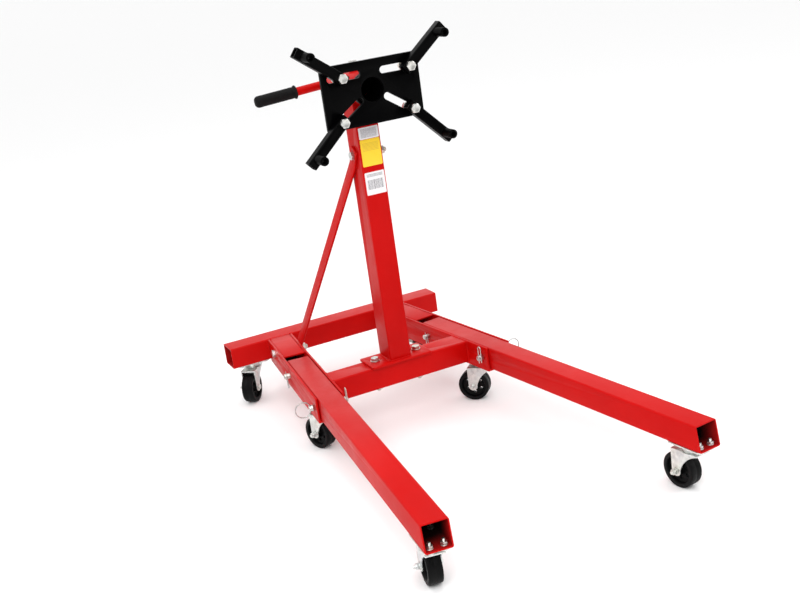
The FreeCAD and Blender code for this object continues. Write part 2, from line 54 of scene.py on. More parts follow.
# Layout of the stand, metres, in the frame of the CAD
SPLAY = math.radians(6.4)
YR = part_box("rear_beam")[1].y
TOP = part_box("rear_beam")[1].z
LOW = TOP - 0.060
CROSS_Y = YR - 0.481
FRONT_Y = YR - 0.516
AXIS_Z = 0.884
PIN_Z = TOP - 0.030
FOOT_TOP = TOP + 0.006
BRACE_LOW_Z, BRACE_TOP_Z = 0.152, 0.720
ARM_FRONT_Y = YR - 0.605
PAD_LOW = LOW - 0.003
REAR_PAD_X = 0.266
# Along a leg and across it, mm: pivot pin, front caster, outer face of a socket's side plate
PIVOT_T, LEG_PAD_T, SOCKET_LAT = 322, 1294, 36.5
# Where the red paint begins over the painted shade inside the rear beam (distance from the middle) and inside a
# leg (distance to the front), and how fast it thickens there, per metre
BEAM_MOUTH, BEAM_FADE = 0.255, 16.0
LEG_MOUTH, LEG_FADE = 0.61, 20.0


# ---------------------------------------------------------------- materials
class Shader:
    """A small builder for one procedural material."""

    def __init__(self, name):
        self.mat = bpy.data.materials.new(name)
        self.mat.use_nodes = True
        self.tree = self.mat.node_tree
        self.tree.nodes.clear()
        self.out = self.add("ShaderNodeOutputMaterial")
        self.bsdf = self.add("ShaderNodeBsdfPrincipled")
        self.link(self.bsdf, "BSDF", self.out, "Surface")
        self.coord = self.add("ShaderNodeTexCoord")

    def add(self, kind, **values):
        node = self.tree.nodes.new(kind)
        for key, value in values.items():
            setattr(node, key, value)
        return node

    def link(self, a, out, b, into):
        self.tree.links.new(a.outputs[out], b.inputs[into])

    def noise(self, scale, detail=4.0, rough=0.55, distortion=0.0):
        tex = self.add("ShaderNodeTexNoise")
        tex.inputs["Scale"].default_value = scale
        tex.inputs["Detail"].default_value = detail
        tex.inputs["Roughness"].default_value = rough
        tex.inputs["Distortion"].default_value = distortion
        self.link(self.coord, "Object", tex, "Vector")
        return tex

    def ramp(self, source, out, stops):
        node = self.add("ShaderNodeValToRGB")
        while len(node.color_ramp.elements) < len(stops):
            node.color_ramp.elements.new(0.5)
        for element, (pos, colour) in zip(node.color_ramp.elements, stops):
            element.position = pos
            element.color = (*colour, 1)
        self.link(source, out, node, "Fac")
        return node

    def math(self, op, a, b, clamp=False):
        node = self.add("ShaderNodeMath", operation=op, use_clamp=clamp)
        for i, value in enumerate((a, b)):
            if isinstance(value, tuple):
                self.tree.links.new(value[0].outputs[value[1]], node.inputs[i])
            else:
                node.inputs[i].default_value = value
        return node

    def mix(self, fac, a, b, blend="MIX"):
        """Colours a and b, each an (r, g, b) tuple or a (node, output) pair; fac a number or a pair."""
        node = self.add("ShaderNodeMix", data_type="RGBA", blend_type=blend)
        for index, value in ((0, fac), (6, a), (7, b)):
            if isinstance(value, tuple) and len(value) == 2:
                self.tree.links.new(value[0].outputs[value[1]], node.inputs[index])
            elif isinstance(value, tuple):
                node.inputs[index].default_value = (*value, 1)
            else:
                node.inputs[index].default_value = value
        return node

    def bump(self, source, out, strength, distance, under=None):
        node = self.add("ShaderNodeBump")
        node.inputs["Strength"].default_value = strength
        node.inputs["Distance"].default_value = distance
        self.link(source, out, node, "Height")
        if under:
            self.link(under, "Normal", node, "Normal")
        return node

    def edge(self):
        """1 on the rounded edges of a piece, 0 on its faces."""
        return self.add("ShaderNodeAttribute", attribute_name="edge")


def paint(name, colour, deep, rough, worn, wear, shine):
    """Gloss paint over steel: orange peel, slow colour drift, a painted highlight that lightens the rounded edges,
    and small chips on the edges.
    """
    s = Shader(name)
    drift = s.noise(5.0, 3.0)
    tint = s.ramp(drift, "Fac", [(0.3, deep), (0.7, colour)])
    peel = s.noise(520.0, 2.0, 0.5)
    wave = s.noise(60.0, 2.0, 0.5)
    edge = s.edge()
    patch = s.noise(34.0, 6.0, 0.65)
    # Painted highlight: the rounded edges are lightened toward a brighter colour.
    painted_edge_highlight = s.math("MULTIPLY", (edge, "Fac"), 0.45)
    tint = s.mix((painted_edge_highlight, "Value"), (tint, "Color"), tuple(min(1, c * 1.25 + 0.01) for c in colour))
    chip = s.ramp(patch, "Fac", [(wear, (0, 0, 0)), (wear + 0.015, (1, 1, 1))])
    chipped = s.math("MULTIPLY", (chip, "Color"), (edge, "Fac"), True)
    tint = s.mix((chipped, "Value"), (tint, 2), worn)
    dust = s.noise(16.0, 8.0, 0.7, distortion=0.6)
    haze = s.ramp(dust, "Fac", [(0.5, (0, 0, 0)), (0.9, (0.12, 0.12, 0.12))])
    tint = s.mix((haze, "Color"), (tint, 2), tuple(0.8 * c + 0.006 for c in colour))
    s.link(tint, 2, s.bsdf, "Base Color")
    gloss = s.ramp(dust, "Fac", [(0.3, (rough,) * 3), (0.8, (rough + 0.16,) * 3)])
    s.link(gloss, "Color", s.bsdf, "Roughness")
    s.bsdf.inputs["Specular IOR Level"].default_value = shine
    low = s.bump(wave, "Fac", 0.12, 0.0012)
    fine = s.bump(peel, "Fac", 0.10, 0.0004, low)
    s.link(fine, "Normal", s.bsdf, "Normal")
    return s.mat


def tube_inside():
    """Inner wall of a tube: near-black painted shade for the inside, with the red paint reaching a little way in
    at the mouths and fading into the painted shade deeper in.
    """
    s = Shader("tube_inside_painted_shade")
    scale = s.noise(140.0, 6.0, 0.65)
    # Painted shade: the inner wall is near black to stand for the shade inside the tube.
    tint = s.ramp(scale, "Fac", [(0.3, (0.006, 0.003, 0.003)), (0.75, (0.020, 0.008, 0.007))])
    spray = s.noise(12.0, 5.0, 0.6)
    fog = s.ramp(spray, "Fac", [(0.5, (0, 0, 0)), (0.85, (0.5, 0.5, 0.5))])
    tint = s.mix((fog, "Color"), (tint, "Color"), (0.06, 0.004, 0.004))
    place = s.add("ShaderNodeSeparateXYZ")
    s.link(s.coord, "Object", place, "Vector")
    offset = s.math("ABSOLUTE", (place, "X"), 0.0)
    past = s.math("SUBTRACT", (offset, "Value"), BEAM_MOUTH)
    beam_fade = s.math("MULTIPLY", (past, "Value"), BEAM_FADE, True)
    at_rear = s.math("GREATER_THAN", (place, "Y"), 0.5)
    beam = s.math("MULTIPLY", (beam_fade, "Value"), (at_rear, "Value"))
    leg = s.math("MULTIPLY_ADD", (place, "Y"), -LEG_FADE, True)
    leg.inputs[2].default_value = -LEG_FADE * LEG_MOUTH
    mouth = s.math("MAXIMUM", (beam, "Value"), (leg, "Value"))
    tint = s.mix((mouth, "Value"), (tint, 2), (0.30, 0.002, 0.002))
    s.link(tint, 2, s.bsdf, "Base Color")
    s.bsdf.inputs["Roughness"].default_value = 0.75
    s.bsdf.inputs["Specular IOR Level"].default_value = 0.1
    s.link(s.bump(scale, "Fac", 0.2, 0.0004), "Normal", s.bsdf, "Normal")
    return s.mat


def metal(name, light, dark, rough, scale=90.0):
    """Plated or bare steel: mottled colour, fine grain and small dull patches."""
    s = Shader(name)
    mottled = s.noise(scale, 6.0, 0.6)
    tint = s.ramp(mottled, "Fac", [(0.3, dark), (0.68, light)])
    cloud = s.noise(11.0, 4.0)
    passive = s.ramp(cloud, "Fac", [(0.35, (0.93, 0.97, 1.0)), (0.65, (1.0, 0.965, 0.88))])
    tint = s.mix(0.8, (tint, "Color"), (passive, "Color"), "MULTIPLY")
    # Painted highlight: the rounded edges are lightened.
    metal_edge_highlight = s.math("MULTIPLY", (s.edge(), "Fac"), 0.3)
    tint = s.mix((metal_edge_highlight, "Value"), (tint, 2), tuple(min(1, c * 1.2) for c in light))
    s.link(tint, 2, s.bsdf, "Base Color")
    s.bsdf.inputs["Metallic"].default_value = 1.0
    grain = s.noise(420.0, 5.0, 0.6)
    dull = s.ramp(grain, "Fac", [(0.25, (rough - 0.06,) * 3), (0.75, (rough + 0.12,) * 3)])
    s.link(dull, "Color", s.bsdf, "Roughness")
    s.link(s.bump(grain, "Fac", 0.06, 0.0003), "Normal", s.bsdf, "Normal")
    return s.mat


def plastic(name, colour, rough, scuff, grain_scale=900.0):
    """Moulded black plastic or rubber: fine spark-eroded grain with dusty scuffs."""
    s = Shader(name)
    grain = s.noise(grain_scale, 3.0, 0.6)
    rubbed = s.noise(38.0, 8.0, 0.7, distortion=0.8)
    mask = s.ramp(rubbed, "Fac", [(0.52, (0, 0, 0)), (0.78, (0.5, 0.5, 0.5))])
    tint = s.mix((mask, "Color"), colour, scuff)
    # Painted highlight: the rounded edges are lightened.
    edge = s.math("MULTIPLY", (s.edge(), "Fac"), 0.35)
    tint = s.mix((edge, "Value"), (tint, 2), tuple(c * 1.7 + 0.004 for c in colour))
    s.link(tint, 2, s.bsdf, "Base Color")
    level = s.ramp(rubbed, "Fac", [(0.4, (rough,) * 3), (0.75, (min(1.0, rough + 0.2),) * 3)])
    s.link(level, "Color", s.bsdf, "Roughness")
    s.bsdf.inputs["Specular IOR Level"].default_value = 0.1
    s.link(s.bump(grain, "Fac", 0.18, 0.0003), "Normal", s.bsdf, "Normal")
    return s.mat


RED = paint("red_gloss_paint", (0.53, 0.0028, 0.0022), (0.46, 0.0018, 0.0015),
            rough=0.30, worn=(0.30, 0.28, 0.27), wear=0.76, shine=0.08)
BLACK = paint("black_gloss_paint", (0.0009, 0.0009, 0.001), (0.0006, 0.0006, 0.0007),
              rough=0.26, worn=(0.15, 0.15, 0.15), wear=0.74, shine=0.035)
SHADE_INSIDE = tube_inside()
ZINC = metal("zinc_plate", (0.78, 0.79, 0.78), (0.52, 0.53, 0.53), 0.34)
STEEL = metal("bright_steel", (0.74, 0.73, 0.70), (0.46, 0.45, 0.43), 0.30, 140.0)
WIRE = metal("spring_wire", (0.62, 0.62, 0.62), (0.36, 0.36, 0.36), 0.26, 200.0)
WHEEL = plastic("wheel_plastic", (0.0016, 0.0016, 0.0018), 0.42, (0.009, 0.0088, 0.0085))
RUBBER = plastic("grip_rubber", (0.0045, 0.0045, 0.0045), 0.55, (0.016, 0.016, 0.016), 1400.0)


# ---------------------------------------------------------------- mesh helpers
def finish_piece(name, bm, material, body, node=None, smooth=38):
    """Turns a bmesh into a piece that rides on a body, shaded smooth across shallow angles only."""
    mesh = bpy.data.meshes.new(name)
    bm.normal_update()
    for face in bm.faces:
        face.smooth = True
    bm.to_mesh(mesh)
    bm.free()
    mesh.set_sharp_from_angle(angle=math.radians(smooth))
    materials = material if isinstance(material, (list, tuple)) else [material]
    for m in materials:
        mesh.materials.append(m)
    obj = bpy.data.objects.new(name, mesh)
    bpy.context.scene.collection.objects.link(obj)
    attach(obj, body)
    if node:
        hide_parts(node)
    return obj


def edge_layer(bm):
    """Face layer that marks rounded edges for the materials."""
    return bm.faces.layers.float.get("edge") or bm.faces.layers.float.new("edge")


def turned_point(place, r, angle, h):
    """Point at radius r and height h in mm, turned by an angle about the local Z axis."""
    return place @ Vector((r * MM * math.cos(angle), r * MM * math.sin(angle), h * MM))


def clean_copy(node):
    """The CAD node's surface with whole faces in place of triangles, so that its edges can be rounded."""
    bm = bmesh.new()
    bm.from_mesh(NODES[node].data)
    bmesh.ops.remove_doubles(bm, verts=bm.verts, dist=2e-6)
    bmesh.ops.dissolve_limit(bm, angle_limit=math.radians(1.0), verts=bm.verts, edges=bm.edges, delimit=set())
    return bm


def round_edges(bm, width, angle=32):
    """Rounds the sharp edges and marks the new faces, which is where the materials paint a lighter edge highlight
    and wear starts.
    """
    layer = edge_layer(bm)
    sharp = [e for e in bm.edges if e.is_manifold and e.calc_face_angle(0) > math.radians(angle)]
    done = bmesh.ops.bevel(bm, geom=sharp, offset=width, offset_type="OFFSET", segments=2, profile=0.5,
                           affect="EDGES", clamp_overlap=True, material=-1)
    for face in done["faces"]:
        if face.is_valid:
            face[layer] = 1.0
    return bm


def carry(node, material, width):
    """The CAD piece as it is, with its edges broken the way the real one's are; tubes get a painted shade inside.
    """
    bm = round_edges(clean_copy(node), width * MM)
    if node in TUBES:
        centre, axis, half_w, half_h = TUBES[node]
        centre, axis = Vector(centre), Vector(axis).normalized()
        across = axis.cross(Vector((0, 0, 1)))
        high = axis.cross(across)
        for face in bm.faces:
            arm = face.calc_center_median() - centre
            level = abs(arm.dot(across)) < half_w + 0.0004 and abs(arm.dot(high)) < half_h + 0.0004
            inward = face.normal.dot(arm - axis * arm.dot(axis)) < 0
            if level and inward and abs(face.normal.dot(axis)) < 0.3:
                face.material_index = 1
        material = [material, SHADE_INSIDE]
    finish_piece(node + "_skin", bm, material, BODY_OF[node], node)


def leg_place(side, t, lat, z):
    """Matrix of leg space at a point: X outwards, Y back along the leg, Z up."""
    along = Vector((side * math.sin(SPLAY), -math.cos(SPLAY), 0))
    out = Vector((side * math.cos(SPLAY), math.sin(SPLAY), 0))
    spot = Vector((side * 0.173, YR, 0)) + along * t * MM + out * lat * MM
    spot.z = z
    return Matrix((out, -along, Vector((0, 0, 1)))).transposed().to_4x4(), spot


def axis_place(spot, direction):
    """Matrix that puts the local Z axis along a direction."""
    z = Vector(direction).normalized()
    h = Vector((0, 0, 1))
    if abs(z.dot(h)) > 0.95:
        h = Vector((0, 1, 0))
    x = h.cross(z).normalized()
    turn = Matrix((x, z.cross(x), z)).transposed().to_4x4()
    return Matrix.Translation(Vector(spot)) @ turn


def lathe(bm, profile, place, segments=32, marked=()):
    """Revolves (radius, height) pairs in mm about the local Z axis. Bands listed in marked are edges."""
    layer = edge_layer(bm)
    rows = []
    for r, h in profile:
        if r < 1e-6:
            rows.append([bm.verts.new(place @ Vector((0, 0, h * MM)))])
            continue
        turn = [2 * math.pi * i / segments for i in range(segments)]
        rows.append([bm.verts.new(turned_point(place, r, a, h)) for a in turn])
    for k, (low, high) in enumerate(zip(rows, rows[1:])):
        for i in range(segments):
            j = (i + 1) % segments
            loop = [low[i % len(low)], low[j % len(low)], high[j % len(high)], high[i % len(high)]]
            loop = list(dict.fromkeys(loop))
            if len(loop) > 2:
                bm.faces.new(loop)[layer] = 1.0 if k in marked else 0.0


def hex_body(bm, place, af, low, high, bore=0.0, chamfer_low=False, dish=0.0):
    """Hexagon with its corners turned off by a 30 degree chamfer, as bolt heads and nuts are."""
    layer = edge_layer(bm)
    flat = af / 2
    turned = flat * 0.955
    steps = 36
    reach = [flat / math.cos(math.radians((360 * i / steps) % 60 - 30)) for i in range(steps)]
    drop = [(r - turned) * math.tan(math.radians(30)) for r in reach]

    def row(radii, heights):
        turn = [math.radians(360 * i / steps) for i in range(steps)]
        return [bm.verts.new(turned_point(place, r, a, h)) for r, a, h in zip(radii, turn, heights)]

    rows = []
    if chamfer_low:
        rows += [row([turned] * steps, [low] * steps), row(reach, [low + d for d in drop])]
    else:
        rows.append(row(reach, [low] * steps))
    rows += [row(reach, [high - d for d in drop]), row([turned] * steps, [high] * steps)]
    if bore:
        rows += [row([bore + 0.8] * steps, [high] * steps), row([bore] * steps, [high - 0.8] * steps)]
        rows += [row([bore] * steps, [low + 0.8] * steps), row([bore + 0.8] * steps, [low] * steps)]
        rows.append(rows[0])
    elif dish:
        rows.append(row([turned * 0.86] * steps, [high] * steps))
        rows.append(row([turned * 0.8] * steps, [high - dish] * steps))
    for k, (a, b) in enumerate(zip(rows, rows[1:])):
        for i in range(steps):
            j = (i + 1) % steps
            face = bm.faces.new([a[i], a[j], b[j], b[i]])
            face[layer] = 1.0 if abs(k - (2 if chamfer_low else 1)) < 1 else 0.0
    if not bore:
        bm.faces.new(rows[-1])
        bm.faces.new(list(reversed(rows[0])))


def thread(bm, place, r, pitch, low, high, segments=20):
    """Threaded end of a screw: one helical ridge, run out at the tip."""
    rows = []
    count = max(4, int((high - low) / pitch * 4))
    for k in range(count + 1):
        z = low + (high - low) * k / count
        line = []
        for i in range(segments):
            phase = (z / pitch - i / segments) % 1.0
            deep = 0.58 * pitch * abs(2 * phase - 1)
            rr = min(r - 0.1 - deep * 0.9, r - 0.62 * pitch + high - z) if k > 0 else r - 0.1
            a = 2 * math.pi * i / segments
            line.append(bm.verts.new(turned_point(place, rr, a, z)))
        rows.append(line)
    for low_row, high_row in zip(rows, rows[1:]):
        for i in range(segments):
            j = (i + 1) % segments
            bm.faces.new([low_row[i], low_row[j], high_row[j], high_row[i]])
    bm.faces.new(rows[-1])


def washer(bm, place, outer, bore, low, high):
    """Flat washer with broken outer edges."""
    e = min(0.35, (high - low) / 4)
    profile = [(bore, low), (outer - e, low), (outer, low + e), (outer, high - e), (outer - e, high)]
    profile += [(bore, high), (bore, low)]
    lathe(bm, profile, place, 32, (1, 3))


def screw(bm, place, r, af, head, grip, tip, thick=2.5, under_head=False):
    """Bolt along local Z: head below 0, joint from 0 to grip, then washer, nut and threads up to tip."""
    base = -thick if under_head else 0.0
    down = place @ Matrix.Rotation(math.pi, 4, "X")
    hex_body(bm, down, af, -base, -base + head, dish=0.25)
    if under_head:
        washer(bm, place, af * 0.62, r + 0.3, base, 0)
    far = grip + thick
    lathe(bm, [(r - 0.05, base), (r - 0.05, far)], place, 24)
    washer(bm, place, af * 0.62, r + 0.3, grip, far)
    hex_body(bm, place, af, far, far + 1.6 * r, bore=r - 0.02, chamfer_low=True)
    pitch = {4.0: 1.25, 6.0: 1.75, 7.0: 2.0}[r]
    thread(bm, place, r, pitch, far, tip)


# ---------------------------------------------------------------- welds
def bead(bm, points, radius=2.6, pitch=2.7, closed=False):
    """Weld bead along points in metres: overlapping ripples, a little uneven, half sunk in the corner."""
    pts = [Vector(p) for p in points]
    if closed:
        pts.append(pts[0].copy())
    spans = [(b - a).length for a, b in zip(pts, pts[1:])]
    total = sum(spans)
    count = max(6, int(total / (pitch * MM) * 4))
    rows, sides = [], 10
    previous = None
    for k in range(count + (0 if closed else 1)):
        d = total * k / count
        i = 0
        while i < len(spans) - 1 and d > spans[i]:
            d -= spans[i]
            i += 1
        spot = pts[i].lerp(pts[i + 1], min(1.0, d / spans[i]))
        ahead = (pts[i + 1] - pts[i]).normalized()
        if previous and previous.dot(ahead) < 0.999:
            ahead = (ahead + previous).normalized()
        previous = (pts[i + 1] - pts[i]).normalized()
        hint = Vector((0, 0, 1)) if abs(ahead.z) < 0.9 else Vector((0, 1, 0))
        x = hint.cross(ahead).normalized()
        y = ahead.cross(x)
        wave = 0.88 + 0.12 * abs(math.sin(math.pi * (k / 4.0)))
        drift = 1 + 0.10 * noise.noise(spot * 90)
        r = radius * MM * wave * drift
        if not closed and k in (0, count):
            r *= 0.35
        spot = spot + (x * noise.noise(spot * 60) + y * noise.noise(spot * 60 + Vector((7, 0, 0)))) * 0.0003
        rows.append([bm.verts.new(spot + (x * math.cos(a) + y * math.sin(a)) * r)
                     for a in (2 * math.pi * j / sides for j in range(sides))])
    pairs = list(zip(rows, rows[1:])) + ([(rows[-1], rows[0])] if closed else [])
    for low, high in pairs:
        for j in range(sides):
            bm.faces.new([low[j], low[(j + 1) % sides], high[(j + 1) % sides], high[j]])
    if not closed:
        bm.faces.new(list(reversed(rows[0])))
        bm.faces.new(rows[-1])


def circle_points(centre, radius, x_axis, y_axis, steps=48):
    """Points of a circle in the plane of two axes, radius in mm."""
    c, x, y = Vector(centre), Vector(x_axis), Vector(y_axis)
    turn = [math.radians(360 * i / steps) for i in range(steps)]
    return [c + (x * math.cos(a) + y * math.sin(a)) * radius * MM for a in turn]


# ---------------------------------------------------------------- carried CAD pieces
LOOKS = {"red_paint": RED, "black_paint": BLACK, "bright_steel": STEEL, "zinc": ZINC, "black_plastic": WHEEL,
         "black_rubber": RUBBER}
BUILT = {"handle_grip", "foot_bolts", "brace_bolts", "rear_caster_bolts", "leg_left_caster_bolts",
         "leg_right_caster_bolts", "post_labels", "pivot_clips"}
BUILT |= {n for n in NODES if n.startswith(("wheel_", "arm_bolt_"))}
# How far each piece's edges are broken, mm; 0.35 where it isn't listed
BROKEN = {"rear_beam": 0.5, "cross_beam": 0.5, "post": 0.5, "leg_left": 0.5, "leg_right": 0.5,
          "head_sleeve": 0.8, "spindle": 0.8, "mounting_plate": 0.9, "foot_plate": 0.8,
          "brace_left": 0.7, "brace_right": 0.7}
# Centre, direction and half width and height of each hollow that shows; its inner wall gets the painted shade
TUBES = {"rear_beam": ((0, YR - 0.035, PIN_Z), (1, 0, 0), 0.032, 0.027),
         "cross_beam": ((0, CROSS_Y, PIN_Z), (1, 0, 0), 0.032, 0.027)}
for side, word in ((-1, "left"), (1, "right")):
    turn, spot = leg_place(side, 600, 0, PIN_Z)
    TUBES["leg_" + word] = (spot, turn.to_3x3() @ Vector((0, 1, 0)), 0.027, 0.027)
for node in sorted(set(NODES) - BUILT):
    look = WIRE if node.startswith("lock_ring") else LOOKS[SLOT_OF[node]]
    carry(node, look, BROKEN.get(node, 0.35))

# ---------------------------------------------------------------- bolts
# Radius, width across flats and head height, mm
M8, M12, M14 = (4.0, 13.0, 5.0), (6.0, 19.0, 7.5), (7.0, 21.0, 8.8)
bm = bmesh.new()
for x in (-0.060, 0.060):
    screw(bm, axis_place((x, CROSS_Y, FOOT_TOP), (0, 0, -1)), *M12, grip=66, tip=82, under_head=True)
finish_piece("foot_bolts_detailed", bm, STEEL, "frame", "foot_bolts")

bm = bmesh.new()
screw(bm, axis_place((-0.036, CROSS_Y, BRACE_TOP_Z), (1, 0, 0)), *M12, grip=72, tip=90)
for side in (-1, 1):
    turn, spot = leg_place(side, 150, SOCKET_LAT, BRACE_LOW_Z)
    screw(bm, axis_place(spot, -(turn.to_3x3() @ Vector((1, 0, 0)))), *M12, grip=79, tip=96)
finish_piece("brace_bolts_detailed", bm, STEEL, "frame", "brace_bolts")

for i in range(1, 5):
    low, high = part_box("arm_bolt_%d" % i)
    middle = (low + high) / 2
    bm = bmesh.new()
    screw(bm, axis_place((middle.x, ARM_FRONT_Y, middle.z), (0, 1, 0)), *M14, grip=35, tip=58, thick=3.0)
    finish_piece("arm_bolt_%d_detailed" % i, bm, STEEL, BODY_OF["arm_bolt_%d" % i], "arm_bolt_%d" % i)

PAD_BOLTS = [(a, b) for a in (-37, 37) for b in (-15, 15)]
bm = bmesh.new()
for x in (-REAR_PAD_X, REAR_PAD_X):
    for a, b in PAD_BOLTS:
        spot = (x + a * MM, YR - 0.035 + b * MM, PAD_LOW)
        screw(bm, axis_place(spot, (0, 0, 1)), *M8, grip=6, tip=20, thick=1.6)
finish_piece("rear_caster_bolts_detailed", bm, ZINC, "frame", "rear_caster_bolts")
for side, word in ((-1, "left"), (1, "right")):
    bm = bmesh.new()
    for a, b in PAD_BOLTS:
        spot = leg_place(side, LEG_PAD_T + a, b, PAD_LOW)[1]
        screw(bm, axis_place(spot, (0, 0, 1)), *M8, grip=6, tip=20, thick=1.6)
    finish_piece("leg_%s_caster_bolts_detailed" % word, bm, ZINC, "leg_" + word, "leg_%s_caster_bolts" % word)


# ---------------------------------------------------------------- wheels
def wheel(name):
    """Moulded wheel: flat tread with a mould line, recessed web with a hole in each sector, thick hub."""
    low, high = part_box("wheel_" + name)
    centre = (low + high) / 2
    axle = next(j for j in frame["joints"] if j["name"] == "caster_%s_roll" % name)["axis"]
    place = axis_place(centre, axle)
    bm = bmesh.new()
    layer = edge_layer(bm)
    w = 16.0
    shoulder = [(32, w - 1.2), (33, w), (39.4, w), (40.7, w - 0.4), (41.5, w - 1.3), (41.85, w - 3),
                (41.95, w - 6), (42, 1.2), (41.75, 0.6)]
    tread = shoulder + [(r, -h) for r, h in reversed(shoulder)]
    lathe(bm, tread, place, 72, (1, 3, 7, 9, 13, 15))
    sectors, arc = 6, 12
    web_in, web_out, web_half = 14, 27.5, 6.2
    hole_at, hole_r = 20.8, 4.2
    hub = [(4.05, w + 1.5), (11, w + 1.5), (12, w + 0.7), (12.6, 8.0), (web_in, web_half)]
    inner = [(web_out, web_half), (30.0, 7.6), (31.2, w - 2.5), (32, w - 1.2)]
    for side in (1, -1):
        lathe(bm, [(r, side * h) for r, h in hub], place, 72, (1,))
        lathe(bm, [(r, side * h) for r, h in inner], place, 72)
    lathe(bm, [(4.05, w + 1.5), (4.05, -w - 1.5)], place, 72)

    def spot(r, angle, h):
        return bm.verts.new(turned_point(place, r, angle, h))

    rim_angle = 2 * math.pi / sectors
    web = web_out - web_in
    for k in range(sectors):
        mid = rim_angle * (k + 0.5)
        rings = []
        for side in (1, -1):
            border = [(web_out, mid - rim_angle / 2 + rim_angle * i / arc) for i in range(arc + 1)]
            border += [(web_out - web * i / 4, mid + rim_angle / 2) for i in (1, 2, 3)]
            border += [(web_in, mid + rim_angle / 2 - rim_angle * i / arc) for i in range(arc + 1)]
            border += [(web_in + web * i / 4, mid - rim_angle / 2) for i in (1, 2, 3)]
            hole = []
            for r, a in border:
                dx, dy = r * math.cos(a - mid) - hole_at, r * math.sin(a - mid)
                length = math.hypot(dx, dy)
                hole.append((hole_at + hole_r * dx / length, hole_r * dy / length))
            outer = [spot(r, a, side * web_half) for r, a in border]
            wider = [(hole_at + (x - hole_at) * 1.12, y * 1.12) for x, y in hole]
            lip = [spot(math.hypot(x, y), mid + math.atan2(y, x), side * web_half) for x, y in wider]
            rim = [spot(math.hypot(x, y), mid + math.atan2(y, x), side * (web_half - 0.5)) for x, y in hole]
            n = len(border)
            for i in range(n):
                j = (i + 1) % n
                for p, q, mark in ((outer, lip, 0.0), (lip, rim, 1.0)):
                    loop = [p[i], p[j], q[j], q[i]] if side > 0 else [p[j], p[i], q[i], q[j]]
                    bm.faces.new(loop)[layer] = mark
            rings.append(rim)
        for i in range(n):
            j = (i + 1) % n
            bm.faces.new([rings[0][i], rings[0][j], rings[1][j], rings[1][i]])
    bmesh.ops.remove_doubles(bm, verts=bm.verts, dist=2e-6)
    bmesh.ops.recalc_face_normals(bm, faces=bm.faces)
    finish_piece("wheel_%s_moulded" % name, bm, WHEEL, "roller_" + name, "wheel_" + name)


for word in ("rear_right", "rear_left", "mid_right", "mid_left", "front_right", "front_left"):
    wheel(word)


# ---------------------------------------------------------------- grip
def grip():
    """Dipped handle grip: flange, fluted barrel with end bands, domed end."""
    bm = bmesh.new()
    layer = edge_layer(bm)
    droop = math.radians(3.8)
    place = axis_place((0, YR - 0.302, AXIS_Z), (-math.cos(droop), 0, -math.sin(droop)))
    flange = [(11.05, 94), (16.6, 94), (17.5, 94.8), (17.5, 97.2), (16.4, 98.2), (14.9, 99.5), (14.6, 104),
              (14.95, 105), (14.95, 112), (14.6, 113)]
    flutes_from, flutes_to = 113, 185
    barrel = [(14.8, flutes_from + 6 * i) for i in range(1, 12)]
    tail = [(14.6, 185), (14.95, 186), (15.0, 194), (14.6, 198.5), (13.2, 202), (10.4, 204.6), (6.0, 205.8),
            (0, 206)]
    segments = 96
    rows = []
    for r, h in flange + barrel + tail:
        if r == 0:
            rows.append([bm.verts.new(place @ Vector((0, 0, h * MM)))])
            continue
        line = []
        for i in range(segments):
            a = 2 * math.pi * i / segments
            rr = r - (0.45 * max(0.0, math.cos(a * 16)) if flutes_from < h < flutes_to else 0.0)
            line.append(bm.verts.new(turned_point(place, rr, a, h)))
        rows.append(line)
    for k, (low, high) in enumerate(zip(rows, rows[1:])):
        for i in range(segments):
            j = (i + 1) % segments
            loop = list(dict.fromkeys([low[i], low[j], high[j % len(high)], high[i % len(high)]]))
            bm.faces.new(loop)[layer] = 1.0 if k in (1, 3) else 0.0
    bmesh.ops.recalc_face_normals(bm, faces=bm.faces)
    finish_piece("handle_grip_moulded", bm, RUBBER, "head", "handle_grip", smooth=60)


grip()


# ---------------------------------------------------------------- labels, blank film with plain bars
def label_material(name, film, ink, rows):
    """Printed film. rows are (low, high, kind) bands of its height; kind is lines or bars."""
    s = Shader(name)
    split = s.add("ShaderNodeSeparateXYZ")
    s.link(s.coord, "UV", split, "Vector")
    grain = s.noise(900.0, 2.0)
    base = s.mix(0.06, film, (grain, "Color"), "MULTIPLY")
    total = None
    for low, high, kind in rows:
        inside = s.math("MULTIPLY", (s.math("GREATER_THAN", (split, "Y"), low), "Value"),
                        (s.math("LESS_THAN", (split, "Y"), high), "Value"))
        side_a = s.math("GREATER_THAN", (split, "X"), 0.1)
        side_b = s.math("LESS_THAN", (split, "X"), 0.9)
        margin = s.math("MULTIPLY", (side_a, "Value"), (side_b, "Value"))
        inside = s.math("MULTIPLY", (inside, "Value"), (margin, "Value"))
        if kind == "lines":
            wave = s.math("FRACT", (s.math("MULTIPLY", (split, "Y"), 22.0), "Value"), 0.0)
            mask = s.math("GREATER_THAN", (wave, "Value"), 0.62)
        else:
            wide = s.add("ShaderNodeTexNoise", noise_dimensions="1D")
            wide.inputs["Scale"].default_value = 1.0
            wide.inputs["Detail"].default_value = 0.0
            s.tree.links.new(s.math("MULTIPLY", (split, "X"), 46.0).outputs[0], wide.inputs["W"])
            mask = s.math("GREATER_THAN", (wide, "Fac"), 0.52)
        part = s.math("MULTIPLY", (inside, "Value"), (mask, "Value"))
        total = part if total is None else s.math("MAXIMUM", (total, "Value"), (part, "Value"))
    tint = s.mix((total, "Value"), (base, 2), ink)
    s.link(tint, 2, s.bsdf, "Base Color")
    s.bsdf.inputs["Roughness"].default_value = 0.38
    crease = s.noise(30.0, 3.0)
    s.link(s.bump(crease, "Fac", 0.1, 0.0005), "Normal", s.bsdf, "Normal")
    return s.mat


